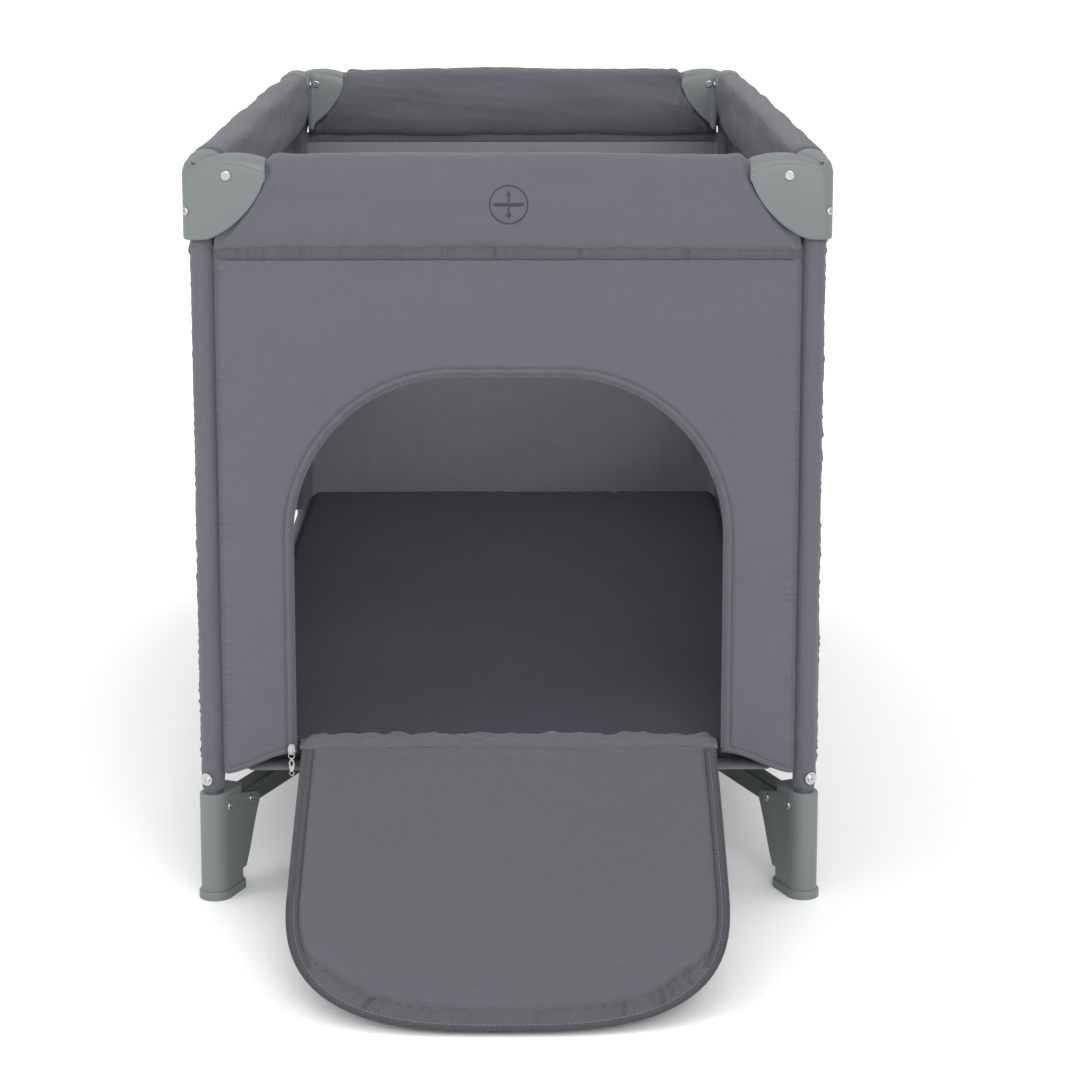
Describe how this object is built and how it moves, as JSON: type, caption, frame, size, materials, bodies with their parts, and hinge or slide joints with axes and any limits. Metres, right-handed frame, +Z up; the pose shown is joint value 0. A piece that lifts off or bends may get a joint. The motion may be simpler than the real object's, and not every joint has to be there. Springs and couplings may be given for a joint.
{
  "type": "playpen",
  "caption": "Folding rectangular playpen with padded fabric walls, moulded corner caps and feet, and an arched zip door.",
  "frame": {"origin": "floor centre, under the hub's foot", "axes": "+Z up, +Y along the length, the zip door faces -Y"},
  "size_m": [0.654, 1.5807, 0.7791],
  "materials": {
    "shell_fabric": "grey woven polyester",
    "mattress_fabric": "grey woven polyester, padded",
    "cap_plastic": "grey-green moulded, satin",
    "hidden_plastic": "black moulded",
    "frame_paint": "dark green-grey powder coat",
    "screw_steel": "zinc plated",
    "zip_metal": "nickel plated",
    "webbing": "woven webbing"
  },
  "bodies": {
    "leg_front_left": {"post_front_left": "frame_paint", "post_sleeve_front_left": "shell_fabric", "corner_cap_front_left": "cap_plastic", "corner_screws_front_left": "screw_steel", "foot_front_left": "cap_plastic", "panel_front": "shell_fabric", "panel_left": "shell_fabric"},
    "bar_front_left": {"base_bar_front_left": "frame_paint"},
    "leg_front_right": {"post_front_right": "frame_paint", "post_sleeve_front_right": "shell_fabric", "corner_cap_front_right": "cap_plastic", "corner_screws_front_right": "screw_steel", "foot_front_right": "cap_plastic", "panel_right": "shell_fabric"},
    "bar_front_right": {"base_bar_front_right": "frame_paint"},
    "leg_back_left": {"post_back_left": "frame_paint", "post_sleeve_back_left": "shell_fabric", "corner_cap_back_left": "cap_plastic", "corner_screws_back_left": "screw_steel", "foot_back_left": "cap_plastic", "panel_back": "shell_fabric"},
    "bar_back_left": {"base_bar_back_left": "frame_paint"},
    "leg_back_right": {"post_back_right": "frame_paint", "post_sleeve_back_right": "shell_fabric", "corner_cap_back_right": "cap_plastic", "corner_screws_back_right": "screw_steel", "foot_back_right": "cap_plastic"},
    "bar_back_right": {"base_bar_back_right": "frame_paint"},
    "hub": {"hub": "hidden_plastic", "hub_pins": "screw_steel", "pull_strap": "webbing", "floor": "shell_fabric"},
    "rail_front_left": {"rail_front_left": "frame_paint", "rail_sleeve_front_left": "shell_fabric"},
    "rail_front_right": {"rail_front_right": "frame_paint", "rail_sleeve_front_right": "shell_fabric"},
    "rail_back_left": {"rail_back_left": "frame_paint", "rail_sleeve_back_left": "shell_fabric"},
    "rail_back_right": {"rail_back_right": "frame_paint", "rail_sleeve_back_right": "shell_fabric"},
    "rail_left_front": {"rail_left_front": "frame_paint", "rail_sleeve_left_front": "shell_fabric"},
    "rail_left_back": {"rail_left_back": "frame_paint", "rail_sleeve_left_back": "shell_fabric"},
    "rail_right_front": {"rail_right_front": "frame_paint", "rail_sleeve_right_front": "shell_fabric"},
    "rail_right_back": {"rail_right_back": "frame_paint", "rail_sleeve_right_back": "shell_fabric"},
    "lock_front": {"lock_front": "hidden_plastic"},
    "button_front": {"lock_button_front": "hidden_plastic"},
    "lock_back": {"lock_back": "hidden_plastic"},
    "button_back": {"lock_button_back": "hidden_plastic"},
    "lock_left": {"lock_left": "hidden_plastic"},
    "button_left": {"lock_button_left": "hidden_plastic"},
    "lock_right": {"lock_right": "hidden_plastic"},
    "button_right": {"lock_button_right": "hidden_plastic"},
    "mattress": {"mattress": "mattress_fabric"},
    "door_flap": {"door_flap": "shell_fabric"},
    "zip_slider": {"zip_slider": "zip_metal"},
    "zip_pull": {"zip_pull": "zip_metal"}
  },
  "joints": [
    {"name": "fold", "type": "hinge", "parent": "leg_front_left", "child": "bar_front_left", "pos_m": [-0.28663, -0.55845, 0.092], "axis": [0.9241, -0.3821, 0], "range_deg": [0, 84], "deforming": ["panel_front", "panel_back", "panel_left", "panel_right", "floor", "mattress", "door_flap", "rail_sleeve_front_left", "rail_sleeve_front_right", "rail_sleeve_back_left", "rail_sleeve_back_right", "rail_sleeve_left_front", "rail_sleeve_left_back", "rail_sleeve_right_front", "rail_sleeve_right_back"]},
    {"name": "hub_turn", "type": "hinge", "parent": "bar_front_left", "child": "hub", "pos_m": [-0.07513, -0.04695, 0.092], "axis": [-0.9241, 0.3821, 0], "range_deg": [0, 84]},
    {"name": "bar_front_right_turn", "type": "hinge", "parent": "hub", "child": "bar_front_right", "pos_m": [0.07513, -0.04695, 0.092], "axis": [0.9241, 0.3821, 0], "range_deg": [0, 84]},
    {"name": "leg_front_right_turn", "type": "hinge", "parent": "bar_front_right", "child": "leg_front_right", "pos_m": [0.28663, -0.55845, 0.092], "axis": [-0.9241, -0.3821, 0], "range_deg": [0, 84]},
    {"name": "bar_back_left_turn", "type": "hinge", "parent": "hub", "child": "bar_back_left", "pos_m": [-0.07513, 0.04695, 0.092], "axis": [-0.9241, -0.3821, 0], "range_deg": [0, 84]},
    {"name": "leg_back_left_turn", "type": "hinge", "parent": "bar_back_left", "child": "leg_back_left", "pos_m": [-0.28663, 0.55845, 0.092], "axis": [0.9241, 0.3821, 0], "range_deg": [0, 84]},
    {"name": "bar_back_right_turn", "type": "hinge", "parent": "hub", "child": "bar_back_right", "pos_m": [0.07513, 0.04695, 0.092], "axis": [-0.9241, 0.3821, 0], "range_deg": [0, 84]},
    {"name": "leg_back_right_turn", "type": "hinge", "parent": "bar_back_right", "child": "leg_back_right", "pos_m": [0.28663, 0.55845, 0.092], "axis": [0.9241, -0.3821, 0], "range_deg": [0, 84]},
    {"name": "rail_front_left_turn", "type": "hinge", "parent": "leg_front_left", "child": "rail_front_left", "pos_m": [-0.28, -0.6065, 0.758], "axis": [0, 1, 0], "range_deg": [0, 84]},
    {"name": "lock_front_turn", "type": "hinge", "parent": "rail_front_left", "child": "lock_front", "pos_m": [-0.0685, -0.6065, 0.758], "axis": [0, -1, 0], "range_deg": [0, 84]},
    {"name": "rail_front_right_turn", "type": "hinge", "parent": "leg_front_right", "child": "rail_front_right", "pos_m": [0.28, -0.6065, 0.758], "axis": [0, -1, 0], "range_deg": [0, 84]},
    {"name": "rail_back_left_turn", "type": "hinge", "parent": "leg_back_left", "child": "rail_back_left", "pos_m": [-0.28, 0.6065, 0.758], "axis": [0, 1, 0], "range_deg": [0, 84]},
    {"name": "lock_back_turn", "type": "hinge", "parent": "rail_back_left", "child": "lock_back", "pos_m": [-0.0685, 0.6065, 0.758], "axis": [0, -1, 0], "range_deg": [0, 84]},
    {"name": "rail_back_right_turn", "type": "hinge", "parent": "leg_back_right", "child": "rail_back_right", "pos_m": [0.28, 0.6065, 0.758], "axis": [0, -1, 0], "range_deg": [0, 84]},
    {"name": "rail_left_front_turn", "type": "hinge", "parent": "leg_front_left", "child": "rail_left_front", "pos_m": [-0.3065, -0.58, 0.758], "axis": [-1, 0, 0], "range_deg": [0, 84]},
    {"name": "lock_left_turn", "type": "hinge", "parent": "rail_left_front", "child": "lock_left", "pos_m": [-0.3065, -0.0685, 0.758], "axis": [1, 0, 0], "range_deg": [0, 84]},
    {"name": "rail_left_back_turn", "type": "hinge", "parent": "leg_back_left", "child": "rail_left_back", "pos_m": [-0.3065, 0.58, 0.758], "axis": [1, 0, 0], "range_deg": [0, 84]},
    {"name": "rail_right_front_turn", "type": "hinge", "parent": "leg_front_right", "child": "rail_right_front", "pos_m": [0.3065, -0.58, 0.758], "axis": [-1, 0, 0], "range_deg": [0, 84]},
    {"name": "lock_right_turn", "type": "hinge", "parent": "rail_right_front", "child": "lock_right", "pos_m": [0.3065, -0.0685, 0.758], "axis": [1, 0, 0], "range_deg": [0, 84]},
    {"name": "rail_right_back_turn", "type": "hinge", "parent": "leg_back_right", "child": "rail_right_back", "pos_m": [0.3065, 0.58, 0.758], "axis": [1, 0, 0], "range_deg": [0, 84]},
    {"name": "mattress_lift", "type": "slide", "parent": "leg_front_left", "child": "mattress", "axis": [0, 0, 1], "range_m": [0, 0.85]},
    {"name": "lock_button_front_press", "type": "slide", "parent": "lock_front", "child": "button_front", "axis": [0, 0, 1], "range_m": [0, 0.0035], "stiffness_N_per_m": 300, "springref_m": -0.004},
    {"name": "lock_button_back_press", "type": "slide", "parent": "lock_back", "child": "button_back", "axis": [0, 0, 1], "range_m": [0, 0.0035], "stiffness_N_per_m": 300, "springref_m": -0.004},
    {"name": "lock_button_left_press", "type": "slide", "parent": "lock_left", "child": "button_left", "axis": [0, 0, 1], "range_m": [0, 0.0035], "stiffness_N_per_m": 300, "springref_m": -0.004},
    {"name": "lock_button_right_press", "type": "slide", "parent": "lock_right", "child": "button_right", "axis": [0, 0, 1], "range_m": [0, 0.0035], "stiffness_N_per_m": 300, "springref_m": -0.004},
    {"name": "door_flap_swing", "type": "hinge", "parent": "leg_front_left", "child": "door_flap", "pos_m": [0, -0.619, 0.166], "axis": [-1, 0, 0], "range_deg": [0, 115.8]},
    {"name": "zip_slide", "type": "slide", "parent": "leg_front_left", "child": "zip_slider", "axis": [0, 0, 1], "range_m": [0, 0.185]},
    {"name": "zip_pull_swing", "type": "hinge", "parent": "zip_slider", "child": "zip_pull", "pos_m": [-0.2235, -0.6289, 0.16], "axis": [-1, 0, 0], "range_deg": [0, 120]}
  ],
  "couplings": [
    {"joint": "hub_turn", "follows": "fold", "ratio": 1},
    {"joint": "bar_front_right_turn", "follows": "fold", "ratio": 1},
    {"joint": "leg_front_right_turn", "follows": "fold", "ratio": 1},
    {"joint": "bar_back_left_turn", "follows": "fold", "ratio": 1},
    {"joint": "leg_back_left_turn", "follows": "fold", "ratio": 1},
    {"joint": "bar_back_right_turn", "follows": "fold", "ratio": 1},
    {"joint": "leg_back_right_turn", "follows": "fold", "ratio": 1},
    {"joint": "rail_front_left_turn", "follows": "fold", "ratio": 1},
    {"joint": "lock_front_turn", "follows": "fold", "ratio": 1},
    {"joint": "rail_front_right_turn", "follows": "fold", "ratio": 1},
    {"joint": "rail_back_left_turn", "follows": "fold", "ratio": 1},
    {"joint": "lock_back_turn", "follows": "fold", "ratio": 1},
    {"joint": "rail_back_right_turn", "follows": "fold", "ratio": 1},
    {"joint": "rail_left_front_turn", "follows": "fold", "ratio": 1},
    {"joint": "lock_left_turn", "follows": "fold", "ratio": 1},
    {"joint": "rail_left_back_turn", "follows": "fold", "ratio": 1},
    {"joint": "rail_right_front_turn", "follows": "fold", "ratio": 1},
    {"joint": "lock_right_turn", "follows": "fold", "ratio": 1},
    {"joint": "rail_right_back_turn", "follows": "fold", "ratio": 1},
    {"joint": "mattress_lift", "follows": "fold", "m_per_rad": 0.5791}
  ]
}
